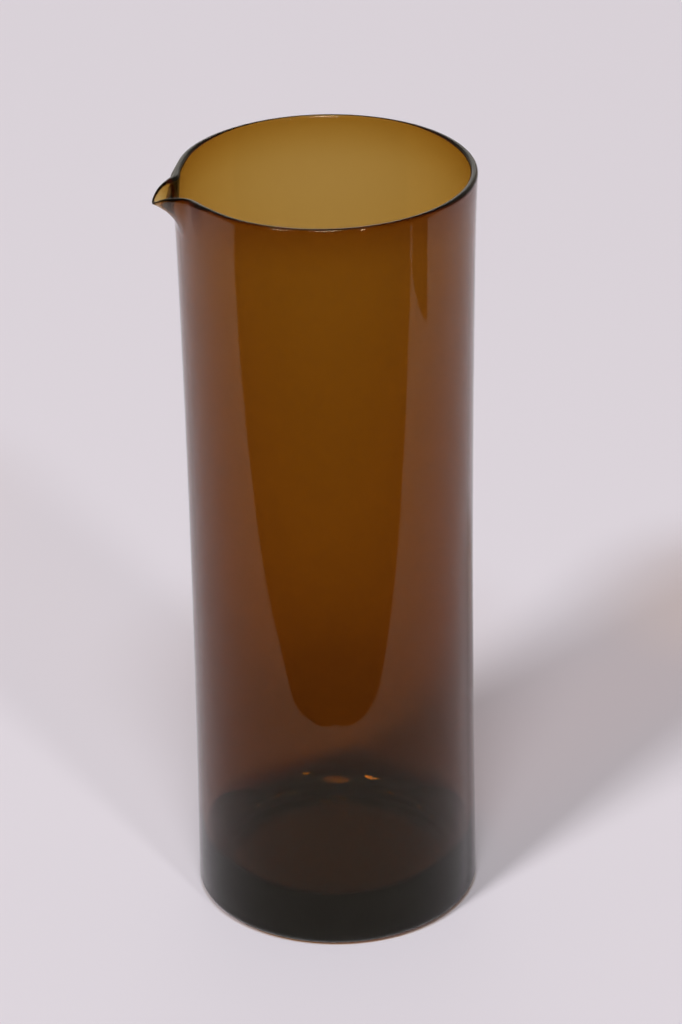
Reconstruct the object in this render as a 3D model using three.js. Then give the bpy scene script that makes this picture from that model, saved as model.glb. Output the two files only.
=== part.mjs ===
// A tall carafe, blown in one piece from brown glass: a straight cylinder that is drawn in
// a little half way up, on a thick flat floor, with a small pouring lip pulled from its rim.
// Lengths are in millimetres, +Z is up, and the origin is the middle of the underside.
// The pouring lip points along -X.

import * as THREE from "three";

// Outside of the body
const HEIGHT = 255.8; // from the underside to the top of the rim
const RIM_RADIUS = 47.5;
const RIM_FLARE = 0.35; // how much the rim opens beyond the wall's line
const FLARE_DEPTH = 24; // how far down the wall that opening starts
const WAIST_RADIUS = 45.85; // half way up
const FOOT_RADIUS = 46.8; // of the wall's line where it would meet the underside
const HEEL_RADIUS = 3.5; // rounding between the wall and the underside

// Thickness of the glass
const HIGH_WALL = 1.6; // just under the rim's bead
const LOW_WALL = 2.35; // at the foot
const RIM_WALL = 2.4; // the rim's bead, round on top
const BEAD_DEPTH = 20; // how far down the bead runs out into the wall
const FLOOR = 8;
const CORNER_RADIUS = 16; // rounding inside, between the wall and the floor

// The pouring lip, measured on the middle of the glass
const LIP_REACH = 8.1; // how far the tip is pulled out of the rim's circle
const LIP_DROP = 2.9; // how far the tip hangs below the rim
const LIP_DEPTH = 13.7; // how far down the wall the pull is felt
const LIP_HALF_WIDTH = 8.3; // along the rim, from the tip to the crease beside it
const LIP_TIP_RADIUS = 1.7; // how round the tip is, seen from above
const LIP_WALL = 1.3; // thickness of the glass at the tip
const ROOT_WALL = 3.1; // thickness of the glass where the lip leaves the rim
const ROOT_PLACE = 12; // along the rim, from the tip to the thickest glass
const ROOT_SPREAD = 4;
const PINCH = 0.5; // how far the rim is drawn in beside the lip
const PINCH_PLACE = 21.5; // along the rim, from the tip to the middle of the pinch
const PINCH_SPREAD = 8;

// How the pull fades: down the wall, and how it drops, narrows and creases
const LIP_FADE_POWER = 1.85;
const LIP_DROP_POWER = 3.4;
const LIP_NARROWING_SHARE = 0.34; // of the width, lost at the lower end of the lip
const LIP_CREASE_SHARE = 0.11; // of the width, over which the crease bends

// Fineness of the surface
const TURN_STEPS = 110;
const TURN_CROWDING_SHARE = 0.7; // how much closer the steps stand round the lip
const BODY_STEPS = 8;
const LIP_STEPS = 7;
const RIM_STEPS = 6;
const HEEL_STEPS = 3;
const CORNER_STEPS = 5;

// Brown soda glass
const GLASS = { color: 0x6b4216, roughness: 0.05, metalness: 0 };

const RIM_HEIGHT = HEIGHT - RIM_WALL / 2; // centre of the rim's rounding
const LIP_START = RIM_HEIGHT - LIP_DEPTH;
const QUARTER = Math.PI / 2;

// Outside radius of the wall at a height: one smooth curve through foot and waist to the
// rim, which opens a little on its last stretch.
function outsideRadius(height) {
  const rise = height / RIM_HEIGHT;
  const topRadius = RIM_RADIUS - RIM_FLARE;
  const drawnIn = FOOT_RADIUS + topRadius - 2 * WAIST_RADIUS;
  const lean = 4 * WAIST_RADIUS - 3 * FOOT_RADIUS - topRadius;
  const opening = Math.max(1 - (RIM_HEIGHT - height) / FLARE_DEPTH, 0);
  return FOOT_RADIUS + rise * (lean + 2 * rise * drawnIn) + RIM_FLARE * opening ** 2;
}

// Thickness of the wall at a height: it tapers from foot to rim and swells into the bead.
function thickness(height) {
  const taper = 1 - height / RIM_HEIGHT;
  const bead = Math.max(1 - (RIM_HEIGHT - height) / BEAD_DEPTH, 0);
  return HIGH_WALL + (LOW_WALL - HIGH_WALL) * taper + (RIM_WALL - HIGH_WALL) * bead ** 2;
}

function insideRadius(height) {
  return outsideRadius(height) - thickness(height);
}

// Radius of the middle of the glass at a height.
function middleRadius(height) {
  return outsideRadius(height) - thickness(height) / 2;
}

// Points of an arc, with both of its ends.
function arc(centreRadius, centreHeight, radius, from, to, steps) {
  return Array.from({ length: steps + 1 }, (_, i) => {
    const turn = from + ((to - from) * i) / steps;
    return new THREE.Vector2(
      centreRadius + radius * Math.cos(turn),
      centreHeight + radius * Math.sin(turn),
    );
  });
}

// Heights of the wall's rings between two ends, closer together in the lip's zone.
// The ends themselves belong to the roundings that the wall runs into.
function wallHeights(lowEnd) {
  const heights = [];
  for (let i = 1; i <= BODY_STEPS; i++) {
    heights.push(lowEnd + ((LIP_START - lowEnd) * i) / BODY_STEPS);
  }
  for (let i = 1; i < LIP_STEPS; i++) {
    heights.push(LIP_START + (LIP_DEPTH * i) / LIP_STEPS);
  }
  return heights;
}

// Half of the carafe's section, from the middle of the underside round to the middle of
// the floor inside.
function sectionPoints() {
  const heelCentre = outsideRadius(HEEL_RADIUS) - HEEL_RADIUS;
  const cornerHeight = FLOOR + CORNER_RADIUS;
  const cornerCentre = insideRadius(cornerHeight) - CORNER_RADIUS;
  const outside = wallHeights(HEEL_RADIUS).map(
    (height) => new THREE.Vector2(outsideRadius(height), height),
  );
  const inside = wallHeights(cornerHeight)
    .reverse()
    .map((height) => new THREE.Vector2(insideRadius(height), height));
  return [
    new THREE.Vector2(0, 0),
    ...arc(heelCentre, HEEL_RADIUS, HEEL_RADIUS, -QUARTER, 0, HEEL_STEPS),
    ...outside,
    ...arc(middleRadius(RIM_HEIGHT), RIM_HEIGHT, RIM_WALL / 2, 0, 2 * QUARTER, RIM_STEPS),
    ...inside,
    ...arc(cornerCentre, cornerHeight, CORNER_RADIUS, 0, -QUARTER, CORNER_STEPS),
    new THREE.Vector2(0, FLOOR),
  ];
}

// The lip's pull at a distance along the rim from its tip: a tent with a round top and soft
// creases at its feet, with the rate at which it grows along the rim.
function lipPull(along, narrowing) {
  const width = LIP_HALF_WIDTH * narrowing;
  const slant = Math.hypot(along, LIP_TIP_RADIUS);
  const foot = Math.exp((1 - (slant - LIP_TIP_RADIUS) / width) / LIP_CREASE_SHARE);
  const full = Math.log1p(Math.exp(1 / LIP_CREASE_SHARE));
  const growth = (-foot / (1 + foot) / (LIP_CREASE_SHARE * full * width)) * (along / slant);
  return { side: Math.log1p(foot) / full, growth };
}

// The pinch beside the lip, with the rate at which it grows along the rim.
function rimPinch(along) {
  const beside = (Math.abs(along) - PINCH_PLACE) / PINCH_SPREAD;
  const inward = PINCH * Math.exp(-(beside ** 2));
  return { inward, growth: ((-2 * inward * beside) / PINCH_SPREAD) * Math.sign(along) };
}

// Thickness of the glass near the lip, as a share of what it would be elsewhere: drawn thin
// at the tip and gathered where the lip leaves the rim.
function thinning(along, side, fade) {
  const beside = (Math.abs(along) - ROOT_PLACE) / ROOT_SPREAD;
  const drawn = (1 - LIP_WALL / RIM_WALL) * side;
  const gathered = (ROOT_WALL / RIM_WALL - 1) * Math.exp(-(beside ** 2));
  return 1 - (drawn - gathered) * fade;
}

// Place of a point of the section after it is turned round the axis and the lip is pulled.
// The middle of the glass is moved, and the thickness is set off square to it.
function placeOnCarafe(radius, height, turn) {
  let outward = radius;
  let sideways = 0;
  let upward = height;
  if (height > LIP_START) {
    const middleHeight = Math.min(height, RIM_HEIGHT);
    const middle = middleRadius(middleHeight);
    const sunk = (RIM_HEIGHT - middleHeight) / LIP_DEPTH;
    const fade = (1 - sunk) ** LIP_FADE_POWER;
    const along = turn * RIM_RADIUS;
    const pull = lipPull(along, 1 - LIP_NARROWING_SHARE * sunk);
    const pinch = rimPinch(along);
    const pulled = middle + (LIP_REACH * pull.side - pinch.inward) * fade;
    const slope = (LIP_REACH * pull.growth - pinch.growth) * fade * RIM_RADIUS;
    const thin = thinning(along, pull.side, fade);
    const outset = ((radius - middle) * thin) / Math.hypot(pulled, slope);
    outward = pulled + outset * pulled;
    sideways = -outset * slope;
    const drop = LIP_DROP * pull.side ** LIP_DROP_POWER * fade;
    upward = middleHeight - drop + (height - middleHeight) * Math.min(thin, 1);
  }
  return new THREE.Vector3(
    -outward * Math.cos(turn) + sideways * Math.sin(turn),
    -outward * Math.sin(turn) - sideways * Math.cos(turn),
    upward,
  );
}

// The glass: the section turned round the axis, with its rings moved onto the lip.
function glassGeometry() {
  const geometry = new THREE.LatheGeometry(sectionPoints(), TURN_STEPS);
  const places = geometry.getAttribute("position");
  for (let i = 0; i < places.count; i++) {
    const radius = Math.hypot(places.getX(i), places.getZ(i));
    const evenTurn = Math.atan2(places.getX(i), places.getZ(i));
    const turn = evenTurn - TURN_CROWDING_SHARE * Math.sin(evenTurn);
    const place = placeOnCarafe(radius, places.getY(i), turn);
    places.setXYZ(i, place.x, place.y, place.z);
  }
  geometry.computeVertexNormals();
  return geometry;
}

function glassBody() {
  const mesh = new THREE.Mesh(glassGeometry(), new THREE.MeshStandardMaterial(GLASS));
  mesh.name = "glass_body";
  return mesh;
}

const carafe = new THREE.Group();
carafe.name = "carafe";
carafe.add(glassBody());

export default carafe;
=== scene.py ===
"""A tall carafe blown in one piece from brown glass, dressed and lit for its picture.

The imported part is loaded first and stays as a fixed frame. Lengths are in metres, +Z is up,
the origin is the middle of the underside, and the pouring lip points along -X.
"""

from __future__ import annotations

import logging
import math
from dataclasses import dataclass
from enum import Enum

import bpy
from mathutils import Euler, Matrix, Vector


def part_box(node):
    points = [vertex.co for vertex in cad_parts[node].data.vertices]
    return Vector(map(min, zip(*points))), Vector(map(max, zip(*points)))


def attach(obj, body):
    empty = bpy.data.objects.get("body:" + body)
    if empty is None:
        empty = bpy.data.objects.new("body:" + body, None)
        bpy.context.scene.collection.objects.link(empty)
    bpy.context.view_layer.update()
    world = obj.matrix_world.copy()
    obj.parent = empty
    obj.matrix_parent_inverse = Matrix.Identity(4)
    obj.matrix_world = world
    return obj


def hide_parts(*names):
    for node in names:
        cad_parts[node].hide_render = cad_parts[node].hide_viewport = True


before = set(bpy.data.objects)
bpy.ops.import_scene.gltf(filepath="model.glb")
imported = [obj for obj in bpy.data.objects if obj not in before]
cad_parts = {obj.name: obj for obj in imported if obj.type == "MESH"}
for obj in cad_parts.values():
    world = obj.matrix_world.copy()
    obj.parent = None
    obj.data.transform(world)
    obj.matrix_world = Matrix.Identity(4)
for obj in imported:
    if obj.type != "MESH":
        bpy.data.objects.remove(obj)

LOG = logging.getLogger("carafe")
GLASS_NODE = "glass_body"
BODY = "root"

QUARTER = math.pi / 2
MM = 0.001
Colour = tuple[float, float, float]
Shade = tuple[float, float, float, float]
FlatPoint = tuple[float, float]
RampSteps = tuple[tuple[float, float], ...]

# A ray's depth is under this before its first bounce of a kind, and over it after.
FIRST_BOUNCE = 0.5


class Side(Enum):
    """The side of the camera on which a lamp stands, as the sign of its turn."""

    LEFT = -1
    RIGHT = 1


def grey(level: float) -> Shade:
    """Gives the solid grey of a level, as a socket takes it."""
    return (level, level, level, 1.0)


class NodeBook:
    """A short way to fill a material's or a world's node tree."""

    def __init__(self, tree: bpy.types.NodeTree) -> None:
        """Empties the tree.

        Args:
            tree: The node tree that is to be filled.
        """
        self.tree = tree
        tree.nodes.clear()

    def add(self, kind: str, **values: object) -> bpy.types.Node:
        """Adds a node and sets its inputs and settings.

        Args:
            kind: The node's type in Blender.
            values: Inputs by name, with an underscore for a space, or the node's own settings.
                A socket of another node is linked, and anything else is set as a value.

        Returns:
            The new node.
        """
        node = self.tree.nodes.new(kind)
        for name, value in values.items():
            label = name.replace("_", " ")
            if label in node.inputs:
                self.feed(node.inputs[label], value)
            else:
                setattr(node, name, value)
        return node

    def feed(self, socket: bpy.types.NodeSocket, value: object) -> None:
        """Links a socket to another node's output, or sets its value.

        Args:
            socket: The input to fill.
            value: An output socket, a number or a colour.
        """
        if isinstance(value, bpy.types.NodeSocket):
            self.tree.links.new(value, socket)
        else:
            socket.default_value = value

    def math(self, operation: str, first: object, second: object = 0.0) -> bpy.types.NodeSocket:
        """Adds a step of arithmetic, and returns its result.

        Args:
            operation: The operation's name in Blender.
            first: A socket or a number.
            second: A socket or a number.

        Returns:
            The socket with the result.
        """
        node = self.add("ShaderNodeMath", operation=operation)
        self.feed(node.inputs[0], first)
        self.feed(node.inputs[1], second)
        return node.outputs[0]


@dataclass(frozen=True)
class BrownGlass:
    """Clear brown soda glass: fire-polished, slightly wavy from the mould, with a few seeds."""

    ior: float = 1.5
    sheen_tint: Colour = (0.62, 0.59, 0.45)
    tint: Colour = (0.755, 0.572, 0.0)
    tint_density: float = 1600.0
    roughness: float = 0.0
    clear_share: float = 0.96
    wave_scale: float = 22.0
    wave_detail: float = 1.0
    wave_height: float = 0.06 * MM
    seed_spacing: float = 24.0 * MM
    seed_radius: float = 0.4 * MM
    seed_height: float = 0.3 * MM

    def material(self) -> bpy.types.Material:
        """Makes the glass, with its colour in its depth rather than on its surface.

        Rays for shadows and for the table's light aren't bent. They pass straight through each
        face with a slight loss, so the glass throws no bright patches.

        Returns:
            The new material.
        """
        glass = bpy.data.materials.new("brown_glass")
        glass.use_nodes = True
        book = NodeBook(glass.node_tree)
        shine = book.add(
            "ShaderNodeBsdfPrincipled",
            Base_Color=(1.0, 1.0, 1.0, 1.0),
            Roughness=self.roughness,
            IOR=self.ior,
            Specular_Tint=(*self.sheen_tint, 1.0),
            Transmission_Weight=1.0,
            Normal=self.relief(book),
        )
        path = book.add("ShaderNodeLightPath")
        unbent = book.math("MAXIMUM", path.outputs["Is Shadow Ray"], path.outputs["Is Diffuse Ray"])
        clear = book.add("ShaderNodeBsdfTransparent", Color=grey(self.clear_share))
        surface = book.add("ShaderNodeMixShader", Fac=unbent)
        book.feed(surface.inputs[1], shine.outputs[0])
        book.feed(surface.inputs[2], clear.outputs[0])
        depth = book.add(
            "ShaderNodeVolumeAbsorption", Color=(*self.tint, 1.0), Density=self.tint_density
        )
        book.add("ShaderNodeOutputMaterial", Surface=surface.outputs[0], Volume=depth.outputs[0])
        return glass

    def relief(self, book: NodeBook) -> bpy.types.NodeSocket:
        """Adds the slow waves of blown glass, and the small bumps over a few seeds in it.

        Args:
            book: The material's nodes.

        Returns:
            The socket with the surface's direction.
        """
        place = book.add("ShaderNodeTexCoord").outputs["Object"]
        waves = book.add(
            "ShaderNodeTexNoise", Vector=place, Scale=self.wave_scale, Detail=self.wave_detail
        )
        cells = book.add(
            "ShaderNodeTexVoronoi", Vector=place, Scale=1.0 / self.seed_spacing, Randomness=1.0
        )
        near = book.math("DIVIDE", cells.outputs["Distance"], self.seed_radius / self.seed_spacing)
        seed = book.math("SUBTRACT", 1.0, book.math("MINIMUM", near, 1.0))
        slow = book.add(
            "ShaderNodeBump", Strength=1.0, Distance=self.wave_height, Height=waves.outputs["Fac"]
        )
        return book.add(
            "ShaderNodeBump",
            Strength=1.0,
            Distance=self.seed_height,
            Height=seed,
            Normal=slow.outputs[0],
        ).outputs[0]


@dataclass(frozen=True)
class PaleBoard:
    """The matt pale board that the carafe stands on."""

    colour: Colour = (0.795, 0.745, 0.81)
    roughness: float = 0.9
    specular: float = 0.0
    grain_scale: float = 900.0
    grain_detail: float = 2.0
    grain_strength: float = 0.3
    grain_height: float = 0.02 * MM

    def material(self) -> bpy.types.Material:
        """Makes the board's matt finish with a fine grain.

        Returns:
            The new material.
        """
        board = bpy.data.materials.new("pale_board")
        board.use_nodes = True
        book = NodeBook(board.node_tree)
        place = book.add("ShaderNodeTexCoord").outputs["Object"]
        grain = book.add(
            "ShaderNodeTexNoise", Vector=place, Scale=self.grain_scale, Detail=self.grain_detail
        )
        relief = book.add(
            "ShaderNodeBump",
            Strength=self.grain_strength,
            Distance=self.grain_height,
            Height=grain.outputs["Fac"],
        )
        shine = book.add(
            "ShaderNodeBsdfPrincipled",
            Base_Color=(*self.colour, 1.0),
            Roughness=self.roughness,
            Specular_IOR_Level=self.specular,
            Normal=relief.outputs[0],
        )
        book.add("ShaderNodeOutputMaterial", Surface=shine.outputs[0])
        return board


@dataclass(frozen=True)
class DimRoom:
    """What lies beyond the board's front edge, which only mirrored rays meet."""

    glow: float = 0.08

    def material(self) -> bpy.types.Material:
        """Makes a dim glow that only mirrored rays meet, and that every other ray passes.

        Returns:
            The new material.
        """
        room = bpy.data.materials.new("dim_room")
        room.use_nodes = True
        book = NodeBook(room.node_tree)
        path = book.add("ShaderNodeLightPath")
        mirrored = book.math("GREATER_THAN", path.outputs["Glossy Depth"], FIRST_BOUNCE)
        unscattered = book.math("LESS_THAN", path.outputs["Diffuse Depth"], FIRST_BOUNCE)
        shown = book.math("MULTIPLY", mirrored, unscattered)
        glow = book.add("ShaderNodeEmission", Color=grey(self.glow))
        clear = book.add("ShaderNodeBsdfTransparent")
        surface = book.add("ShaderNodeMixShader", Fac=shown)
        book.feed(surface.inputs[1], clear.outputs[0])
        book.feed(surface.inputs[2], glow.outputs[0])
        book.add("ShaderNodeOutputMaterial", Surface=surface.outputs[0])
        return room


@dataclass
class GlassBody:
    """The carafe itself: wall, floor, rim and pouring lip in one closed body of glass."""

    height: float
    rim_radius: float
    rim_flare: float = 0.35 * MM
    flare_depth: float = 24.0 * MM
    waist_radius: float = 45.85 * MM
    foot_radius: float = 46.8 * MM
    heel_radius: float = 3.5 * MM
    rim_wall: float = 2.4 * MM
    rim_bead_depth: float = 20.0 * MM
    high_wall: float = 1.6 * MM
    low_wall: float = 2.35 * MM
    floor: float = 8.0 * MM
    corner_radius: float = 16.0 * MM
    lip_reach: float = 8.1 * MM
    lip_drop: float = 2.9 * MM
    lip_depth: float = 13.7 * MM
    lip_half_width: float = 8.3 * MM
    lip_tip_radius: float = 1.7 * MM
    lip_wall: float = 1.3 * MM
    root_wall: float = 3.1 * MM
    root_place: float = 12.0 * MM
    root_spread: float = 4.0 * MM
    lip_fade_power: float = 1.85
    lip_drop_power: float = 3.4
    lip_narrowing_share: float = 0.34
    lip_crease_share: float = 0.11
    pinch: float = 0.5 * MM
    pinch_place: float = 21.5 * MM
    pinch_spread: float = 8.0 * MM
    turn_steps: int = 288
    turn_crowding_share: float = 0.7
    body_steps: int = 28
    lip_steps: int = 28
    rim_steps: int = 16
    heel_steps: int = 12
    corner_steps: int = 14
    flat_shares: tuple[float, ...] = (0.4, 0.8, 0.98)

    @property
    def rim_height(self) -> float:
        """Height of the centre of the rim's rounding."""
        return self.height - self.rim_wall / 2

    @property
    def lip_start(self) -> float:
        """Height at which the wall starts to follow the lip."""
        return self.rim_height - self.lip_depth

    def outside_radius(self, height: float) -> float:
        """Gives the wall's outside radius: a smooth curve through foot and waist, and a flare.

        Args:
            height: Height over the underside.

        Returns:
            The radius there.
        """
        rise = height / self.rim_height
        top_radius = self.rim_radius - self.rim_flare
        drawn_in = self.foot_radius + top_radius - 2 * self.waist_radius
        lean = 4 * self.waist_radius - 3 * self.foot_radius - top_radius
        flare = self.rim_flare * max(1 - (self.rim_height - height) / self.flare_depth, 0.0) ** 2
        return self.foot_radius + rise * (lean + 2 * rise * drawn_in) + flare

    def thickness(self, height: float) -> float:
        """Gives the thickness of the wall, which grows toward the floor and into the rim's bead.

        Args:
            height: Height over the underside.

        Returns:
            The thickness there.
        """
        taper = max(1 - height / self.rim_height, 0.0)
        bead = max(1 - (self.rim_height - height) / self.rim_bead_depth, 0.0) ** 2
        wall = self.high_wall + (self.low_wall - self.high_wall) * taper
        return wall + (self.rim_wall - self.high_wall) * bead

    def inside_radius(self, height: float) -> float:
        """Inside radius of the wall at a height."""
        return self.outside_radius(height) - self.thickness(height)

    def middle_radius(self, height: float) -> float:
        """Radius of the middle of the glass at a height."""
        return self.outside_radius(height) - self.thickness(height) / 2

    @staticmethod
    def arc(
        centre: FlatPoint, radius: float, start: float, end: float, steps: int
    ) -> list[FlatPoint]:
        """Gives the points of an arc of the section, with both of its ends.

        Args:
            centre: Radius and height of the arc's centre.
            radius: The arc's radius.
            start: Angle of its first point.
            end: Angle of its last point.
            steps: Number of its pieces.

        Returns:
            Its points as radius and height.
        """
        turns = [start + (end - start) * i / steps for i in range(steps + 1)]
        return [
            (centre[0] + radius * math.cos(turn), centre[1] + radius * math.sin(turn))
            for turn in turns
        ]

    def wall_heights(self, low_end: float) -> list[float]:
        """Gives the heights of the wall's rings, closer together where the lip is pulled.

        Args:
            low_end: Height of the rounding that the wall rises from.

        Returns:
            Heights from low to high, without the two ends.
        """
        body = [
            low_end + (self.lip_start - low_end) * i / self.body_steps
            for i in range(1, self.body_steps + 1)
        ]
        lip = [
            self.lip_start + self.lip_depth * i / self.lip_steps for i in range(1, self.lip_steps)
        ]
        return body + lip

    def section(self) -> list[FlatPoint]:
        """Gives half of the section, without its two points on the axis.

        Returns:
            Points from the underside round over the rim to the floor inside.
        """
        heel_centre = (self.outside_radius(self.heel_radius) - self.heel_radius, self.heel_radius)
        corner_height = self.floor + self.corner_radius
        corner_centre = (
            self.inside_radius(corner_height) - self.corner_radius,
            corner_height,
        )
        underside = [(heel_centre[0] * share, 0.0) for share in self.flat_shares]
        floor = [(corner_centre[0] * share, self.floor) for share in reversed(self.flat_shares)]
        outside = [(self.outside_radius(z), z) for z in self.wall_heights(self.heel_radius)]
        inside = [(self.inside_radius(z), z) for z in reversed(self.wall_heights(corner_height))]
        rim_centre = (self.middle_radius(self.rim_height), self.rim_height)
        return [
            *underside,
            *self.arc(heel_centre, self.heel_radius, -QUARTER, 0.0, self.heel_steps),
            *outside,
            *self.arc(rim_centre, self.rim_wall / 2, 0.0, 2 * QUARTER, self.rim_steps),
            *inside,
            *self.arc(corner_centre, self.corner_radius, 0.0, -QUARTER, self.corner_steps),
            *floor,
        ]

    def lip_pull(self, along: float, narrowing: float) -> tuple[float, float]:
        """Gives the lip's pull: a tent with a round top and soft creases at its feet.

        Args:
            along: Distance along the rim from the lip's middle.
            narrowing: Share of the lip's width that is left at this height.

        Returns:
            The share of the full pull, 1 in the middle, and how it grows along the rim.
        """
        width = self.lip_half_width * narrowing
        slant = math.hypot(along, self.lip_tip_radius)
        crease = self.lip_crease_share
        foot = math.exp((1 - (slant - self.lip_tip_radius) / width) / crease)
        full = math.log1p(math.exp(1 / crease))
        growth = -foot / (1 + foot) / (crease * full * width) * along / slant
        return math.log1p(foot) / full, growth

    def rim_pinch(self, along: float) -> tuple[float, float]:
        """Gives how far the rim is drawn in beside the lip.

        Args:
            along: Distance along the rim from the lip's middle.

        Returns:
            The pinch, and how it grows along the rim.
        """
        beside = (abs(along) - self.pinch_place) / self.pinch_spread
        pinch = self.pinch * math.exp(-(beside**2))
        return pinch, -2 * pinch * math.copysign(1.0, along) * beside / self.pinch_spread

    def lip_thinning(self, along: float, side: float, fade: float) -> float:
        """Gives the glass's thickness near the lip as a share of what it would be elsewhere.

        It is drawn thin at the tip and gathered where the lip leaves the rim.

        Args:
            along: Distance along the rim from the lip's middle.
            side: Share of the lip's full pull.
            fade: Share of the pull that is left at this height.

        Returns:
            The share of the thickness.
        """
        thinning = 1 - (1 - self.lip_wall / self.rim_wall) * side * fade
        root = math.exp(-(((abs(along) - self.root_place) / self.root_spread) ** 2)) * fade
        return thinning + (self.root_wall / self.rim_wall - 1) * root

    def place(self, radius: float, height: float, turn: float) -> Vector:
        """Turns a point of the section round the axis and pulls it onto the lip.

        The middle of the glass is moved, and the wall keeps its thickness square to it.

        Args:
            radius: The point's distance from the axis.
            height: The point's height.
            turn: Angle round the axis, from the lip.

        Returns:
            The point's place on the carafe.
        """
        outward, sideways, upward = radius, 0.0, height
        if height > self.lip_start:
            middle_height = min(height, self.rim_height)
            middle = self.middle_radius(middle_height)
            sunk = (self.rim_height - middle_height) / self.lip_depth
            fade = (1 - sunk) ** self.lip_fade_power
            along = turn * self.rim_radius
            side, growth = self.lip_pull(along, 1 - self.lip_narrowing_share * sunk)
            pinch, pinch_growth = self.rim_pinch(along)
            pulled = middle + (self.lip_reach * side - pinch) * fade
            slope = (self.lip_reach * growth - pinch_growth) * fade * self.rim_radius
            thinning = self.lip_thinning(along, side, fade)
            outset = (radius - middle) * thinning / math.hypot(pulled, slope)
            outward = pulled + outset * pulled
            sideways = -outset * slope
            drop = self.lip_drop * side**self.lip_drop_power * fade
            upward = middle_height - drop + (height - middle_height) * min(thinning, 1)
        across = outward * math.sin(turn) + sideways * math.cos(turn)
        return Vector((-outward * math.cos(turn) + sideways * math.sin(turn), -across, upward))

    def turns(self) -> list[float]:
        """Gives the angles of the rings' points, crowded round the lip.

        Returns:
            Angles from the lip, from half a turn on one side to half a turn on the other.
        """
        even = [2 * math.pi * i / self.turn_steps - math.pi for i in range(self.turn_steps)]
        return [turn - self.turn_crowding_share * math.sin(turn) for turn in even]

    def build(self) -> bpy.types.Object:
        """Builds the closed mesh of the glass.

        Returns:
            The new object.
        """
        section = self.section()
        turns = self.turns()
        count = len(turns)
        points = [self.place(radius, z, turn) for radius, z in section for turn in turns]
        under, over = len(points), len(points) + 1
        points += [Vector((0.0, 0.0, 0.0)), Vector((0.0, 0.0, self.floor))]
        last = (len(section) - 1) * count
        faces: list[tuple[int, ...]] = []
        for here in range(count):
            there = (here + 1) % count
            faces.append((under, there, here))
            faces.append((over, last + here, last + there))
            for ring in range(0, last, count):
                above = ring + count
                faces.append((ring + here, ring + there, above + there, above + here))
        mesh = bpy.data.meshes.new("carafe_glass")
        mesh.from_pydata([tuple(point) for point in points], [], faces)
        mesh.validate()
        mesh.polygons.foreach_set("use_smooth", [True] * len(mesh.polygons))
        mesh.update()
        body = bpy.data.objects.new("carafe_glass", mesh)
        bpy.context.scene.collection.objects.link(body)
        return body

    def dress(self, body: bpy.types.Object, finish: BrownGlass) -> None:
        """Gives the glass its finish and its place in the frame.

        Args:
            body: The object that build() made.
            finish: The glass's finish.
        """
        body.data.materials.append(finish.material())
        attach(body, BODY)
        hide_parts(GLASS_NODE)


@dataclass
class Table:
    """The pale board under the carafe, and the dim room beyond its front edge.

    A reach runs sideways from the middle, and a place is how far it lies before the carafe.
    """

    turn: float
    reach: float = 6.0
    gap: float = 0.15 * MM
    corner_reach: float = 0.105
    corner_place: float = 0.179
    tip_place: float = 0.193
    side_reach: float = 0.155
    side_place: float = 0.187
    far_reach: float = 0.44
    far_left_place: float = 0.163
    far_right_place: float = 0.222
    notch_reach: float = 0.48
    notch_place: float = 0.085

    def front_edge(self) -> list[FlatPoint]:
        """Gives the board's front edge: a blunt tip in the middle, and a notch on the right.

        Returns:
            Its corners from left to right, with the camera on the -Y side.
        """
        return [
            (-self.reach, -self.far_left_place),
            (-self.far_reach, -self.far_left_place),
            (-self.side_reach, -self.side_place),
            (-self.corner_reach, -self.corner_place),
            (0.0, -self.tip_place),
            (self.corner_reach, -self.corner_place),
            (self.side_reach, -self.side_place),
            (self.far_reach, -self.far_right_place),
            (self.notch_reach, -self.far_right_place),
            (self.notch_reach, -self.notch_place),
            (self.reach, -self.notch_place),
        ]

    def build(self) -> list[bpy.types.Object]:
        """Builds the board and the card that stands for the dim room.

        Returns:
            Both objects.
        """
        corners = [(-self.reach, -self.reach), (self.reach, -self.reach)]
        corners += [(self.reach, self.reach), (-self.reach, self.reach)]
        board = self.sheet("table_board", corners, -self.gap, PaleBoard().material())
        beyond = [*corners[:2], *reversed(self.front_edge())]
        room = self.sheet("room_card", beyond, self.gap, DimRoom().material())
        return [board, room]

    def sheet(
        self, name: str, outline: list[FlatPoint], height: float, material: bpy.types.Material
    ) -> bpy.types.Object:
        """Builds one flat sheet of the stage, turned to face the camera.

        Args:
            name: The object's name.
            outline: Corners, with the camera on the -Y side.
            height: Height of the sheet.
            material: Its finish.

        Returns:
            The new object.
        """
        mesh = bpy.data.meshes.new(name)
        mesh.from_pydata([(x, y, height) for x, y in outline], [], [tuple(range(len(outline)))])
        mesh.transform(Matrix.Rotation(self.turn, 4, "Z"))
        mesh.materials.append(material)
        sheet = bpy.data.objects.new(name, mesh)
        bpy.context.scene.collection.objects.link(sheet)
        return sheet


@dataclass(frozen=True)
class StudioLamp:
    """A round studio lamp, placed by where it stands as seen from the carafe."""

    name: str
    side: Side
    turn: float
    elevation: float
    distance: float
    diameter: float
    power: float
    aim_height: float = 0.13

    def build(self, camera_turn: float) -> bpy.types.Object:
        """Hangs the lamp and points it at the carafe.

        Args:
            camera_turn: Angle of the camera's side round the axis.

        Returns:
            The new lamp.
        """
        light = bpy.data.lights.new(self.name, "AREA")
        light.shape = "DISK"
        light.size = self.diameter
        light.energy = self.power
        lamp = bpy.data.objects.new(self.name, light)
        bpy.context.scene.collection.objects.link(lamp)
        around = camera_turn + self.side.value * self.turn
        outward = Vector((math.sin(around), -math.cos(around), math.tan(self.elevation))).normalized()
        lamp.location = Vector((0.0, 0.0, self.aim_height)) + outward * self.distance
        lamp.rotation_euler = outward.to_track_quat("Z", "Y").to_euler()
        return lamp


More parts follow.
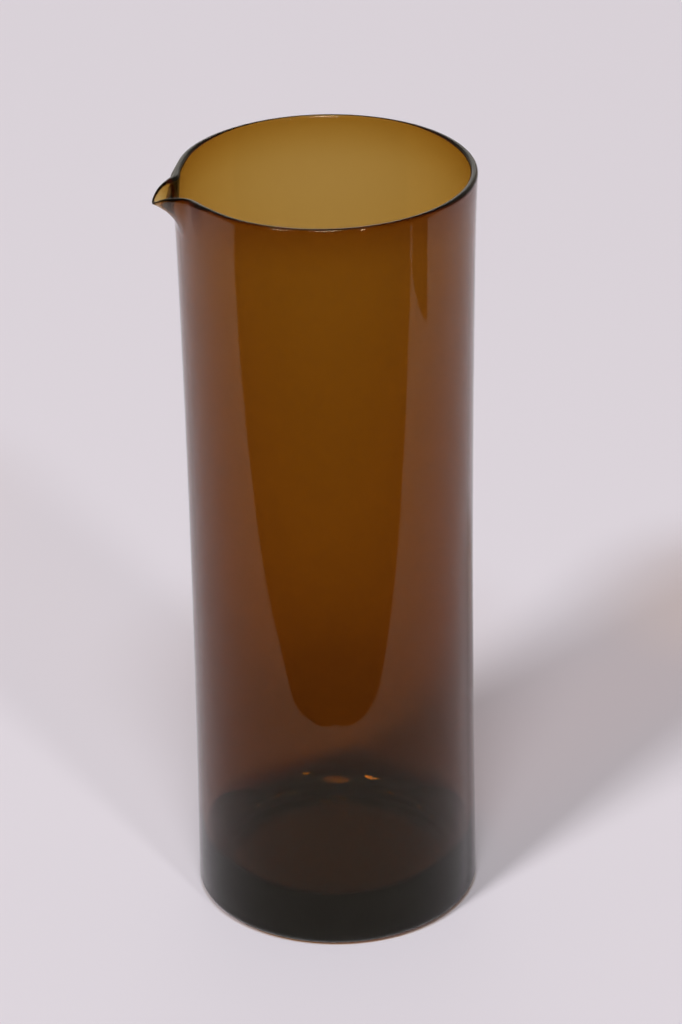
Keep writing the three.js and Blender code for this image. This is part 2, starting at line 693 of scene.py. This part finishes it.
@dataclass(frozen=True)
class RoomLight:
    """The soft light of the room: strong behind the carafe, dim overhead and by the camera."""

    warmth: Colour = (1.0, 0.86, 0.72)
    by_height: RampSteps = ((0.0, 0.19), (0.40, 0.19), (0.62, 0.15), (0.80, 0.05))
    by_depth: RampSteps = (
        (0.0, 0.05), (0.34, 0.08), (0.46, 1.0), (0.80, 1.3), (0.92, 2.2), (1.0, 2.2)
    )

    def build(self, camera_turn: float) -> bpy.types.World:
        """Makes the world's light.

        Args:
            camera_turn: Angle of the camera's side round the axis.

        Returns:
            The new world.
        """
        world = bpy.data.worlds.new("room_light")
        world.use_nodes = True
        book = NodeBook(world.node_tree)
        place = book.add("ShaderNodeTexCoord").outputs["Generated"]
        axes = book.add("ShaderNodeSeparateXYZ", Vector=place)
        depth = book.add("ShaderNodeVectorMath", operation="DOT_PRODUCT")
        book.feed(depth.inputs[0], place)
        book.feed(depth.inputs[1], (-math.sin(camera_turn), math.cos(camera_turn), 0.0))
        # The depth runs from -1 by the camera to 1 behind the carafe, and a ramp from 0 to 1.
        depth_share = book.math("ADD", book.math("MULTIPLY", depth.outputs["Value"], 0.5), 0.5)
        height = self.ramp(book, axes.outputs["Z"], self.by_height)
        front = self.ramp(book, depth_share, self.by_depth)
        warm = book.add("ShaderNodeVectorMath", operation="MULTIPLY")
        book.feed(warm.inputs[0], height)
        book.feed(warm.inputs[1], self.warmth)
        back = book.add("ShaderNodeBackground", Color=warm.outputs["Vector"], Strength=front)
        book.add("ShaderNodeOutputWorld", Surface=back.outputs[0])
        bpy.context.scene.world = world
        return world

    @staticmethod
    def ramp(
        book: NodeBook, share: bpy.types.NodeSocket, steps: RampSteps
    ) -> bpy.types.NodeSocket:
        """Adds a ramp of greys.

        Args:
            book: The world's nodes.
            share: The socket that the ramp follows.
            steps: Each step's place on the ramp and its grey.

        Returns:
            The socket with the grey.
        """
        ramp = book.add("ShaderNodeValToRGB", Fac=share)
        elements = ramp.color_ramp.elements
        for position, _ in steps[1:-1]:
            elements.new(position)
        for element, (position, level) in zip(elements, steps):
            element.position, element.color = position, grey(level)
        return ramp.outputs["Color"]


@dataclass(frozen=True)
class PictureCamera:
    """The camera at the photograph's viewing angle, measured against the rim and the base."""

    turn: float = math.radians(-15.4)
    away: float = 1.1482
    height: float = 0.7295
    pitch: float = math.radians(27.3125)
    yaw: float = math.radians(0.1586)
    roll: float = math.radians(1.0318)
    lens: float = 140.625
    sensor: float = 36.0

    def build(self) -> bpy.types.Object:
        """Sets up the camera and makes it the scene's own.

        Returns:
            The new camera.
        """
        data = bpy.data.cameras.new("picture_camera")
        data.lens = self.lens
        data.sensor_width = self.sensor
        camera = bpy.data.objects.new("picture_camera", data)
        bpy.context.scene.collection.objects.link(camera)
        spot = Matrix.Rotation(self.turn, 4, "Z") @ Matrix.Translation((0.0, -self.away, self.height))
        tilt = Euler((QUARTER - self.pitch, 0.0, -self.yaw), "XYZ").to_matrix().to_4x4()
        camera.matrix_world = spot @ tilt @ Matrix.Rotation(-self.roll, 4, "Z")
        bpy.context.scene.camera = camera
        return camera


LAMP_DISTANCE = 12.0
LAMPS = (
    StudioLamp(
        name="main_lamp",
        side=Side.LEFT,
        turn=math.radians(37.5),
        elevation=math.radians(46.5),
        distance=LAMP_DISTANCE,
        diameter=1.25,
        power=400.0,
    ),
    StudioLamp(
        name="main_wing",
        side=Side.LEFT,
        turn=math.radians(43.5),
        elevation=math.radians(46.5),
        distance=LAMP_DISTANCE,
        diameter=1.25,
        power=325.0,
    ),
    StudioLamp(
        name="side_lamp",
        side=Side.RIGHT,
        turn=math.radians(30.0),
        elevation=math.radians(37.0),
        distance=LAMP_DISTANCE,
        diameter=1.15,
        power=200.0,
    ),
    StudioLamp(
        name="top_lamp",
        side=Side.LEFT,
        turn=0.0,
        elevation=math.radians(61.0),
        distance=LAMP_DISTANCE,
        diameter=3.8,
        power=585.0,
    ),
    StudioLamp(
        name="back_lamp",
        side=Side.LEFT,
        turn=math.radians(180.0),
        elevation=math.radians(22.0),
        distance=2.35,
        diameter=1.6,
        power=4.0,
    ),
)


@dataclass(frozen=True)
class LightPaths:
    """How often light may bounce, with enough for the faces of glass that lie in a row."""

    bounces: int = 20
    through_glass: int = 20
    mirrored: int = 8
    straight_through: int = 24

    def apply(self) -> None:
        """Sets the bounces, turns bright patches off, and keeps colours as they are lit."""
        scene = bpy.context.scene
        scene.view_settings.view_transform = "Standard"
        scene.cycles.max_bounces = self.bounces
        scene.cycles.transmission_bounces = self.through_glass
        scene.cycles.glossy_bounces = self.mirrored
        scene.cycles.transparent_max_bounces = self.straight_through
        scene.cycles.caustics_reflective = False
        scene.cycles.caustics_refractive = False


def main() -> None:
    """Builds the glass, the stage, the light and the camera in order."""
    logging.basicConfig(level=logging.INFO, format="%(name)s: %(message)s")
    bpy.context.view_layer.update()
    _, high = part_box(GLASS_NODE)
    glass = GlassBody(height=high.z, rim_radius=min(high.x, high.y))
    body = glass.build()
    glass.dress(body, BrownGlass())
    LOG.info("%s: %d faces", body.name, len(body.data.polygons))
    camera = PictureCamera()
    LOG.info("%s", camera.build().name)
    for sheet in Table(turn=camera.turn).build():
        LOG.info("%s", sheet.name)
    for lamp in LAMPS:
        LOG.info("%s", lamp.build(camera.turn).name)
    LOG.info("%s", RoomLight().build(camera.turn).name)
    LightPaths().apply()


if __name__ == "__main__":
    main()
